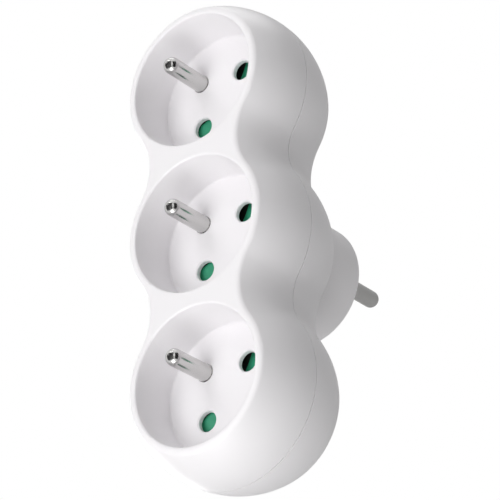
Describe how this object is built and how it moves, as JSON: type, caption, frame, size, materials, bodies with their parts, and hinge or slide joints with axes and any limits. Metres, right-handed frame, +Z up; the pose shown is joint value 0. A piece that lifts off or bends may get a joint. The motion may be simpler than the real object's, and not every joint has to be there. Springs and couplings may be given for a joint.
{
  "type": "multi socket adapter",
  "caption": "Moulded wall adapter with a vertical row of round recessed earthed outlets, child-safety shutters behind the contact holes and a round pin plug on the back.",
  "frame": {"origin": "centre of the round plug drum's end face on the back, between the roots of the plug pins", "axes": "+X to the right seen from the front, +Y backwards along the plug pins, +Z up along the row of outlets; the front faces -Y"},
  "size_m": [0.0524, 0.0729, 0.1396],
  "materials": {
    "white_shell": "satin moulded plastic",
    "green_shutter": "satin moulded plastic",
    "nickel_pin": "nickel-plated brass",
    "brass_bar": "stamped sheet brass",
    "brass_sleeve": "rolled spring brass",
    "contact_plate": "punched insulating sheet",
    "spring_wire": "drawn spring wire",
    "screw_steel": "zinc-plated steel"
  },
  "bodies": {
    "housing": {"front_shell": "white_shell", "rear_shell": "white_shell", "contact_plate": "contact_plate", "earth_bar": "brass_bar", "right_bar": "brass_bar", "left_bar": "brass_bar", "plug_earth_socket": "brass_sleeve", "housing_screws": "screw_steel", "plug_pin_right": "nickel_pin", "plug_pin_left": "nickel_pin", "shutter_spring_top": "spring_wire", "earth_pin_top": "nickel_pin", "right_sleeve_top": "brass_sleeve", "left_sleeve_top": "brass_sleeve", "shutter_spring_middle": "spring_wire", "earth_pin_middle": "nickel_pin", "right_sleeve_middle": "brass_sleeve", "left_sleeve_middle": "brass_sleeve", "shutter_spring_bottom": "spring_wire", "earth_pin_bottom": "nickel_pin", "right_sleeve_bottom": "brass_sleeve", "left_sleeve_bottom": "brass_sleeve"},
    "shutter_body_top": {"shutter_top": "green_shutter"},
    "shutter_body_middle": {"shutter_middle": "green_shutter"},
    "shutter_body_bottom": {"shutter_bottom": "green_shutter"}
  },
  "joints": [
    {"name": "shutter_turn_top", "type": "hinge", "parent": "housing", "child": "shutter_body_top", "pos_m": [0, -0.03495, 0.0436], "axis": [0, 1, 0], "range_deg": [0, 42], "stiffness_Nm_per_rad": 0.004, "springref_deg": -28.65, "deforming": ["shutter_spring_top"]},
    {"name": "shutter_turn_middle", "type": "hinge", "parent": "housing", "child": "shutter_body_middle", "pos_m": [0, -0.03495, 0], "axis": [0, 1, 0], "range_deg": [0, 42], "stiffness_Nm_per_rad": 0.004, "springref_deg": -28.65, "deforming": ["shutter_spring_middle"]},
    {"name": "shutter_turn_bottom", "type": "hinge", "parent": "housing", "child": "shutter_body_bottom", "pos_m": [0, -0.03495, -0.0436], "axis": [0, 1, 0], "range_deg": [0, 42], "stiffness_Nm_per_rad": 0.004, "springref_deg": -28.65, "deforming": ["shutter_spring_bottom"]}
  ]
}
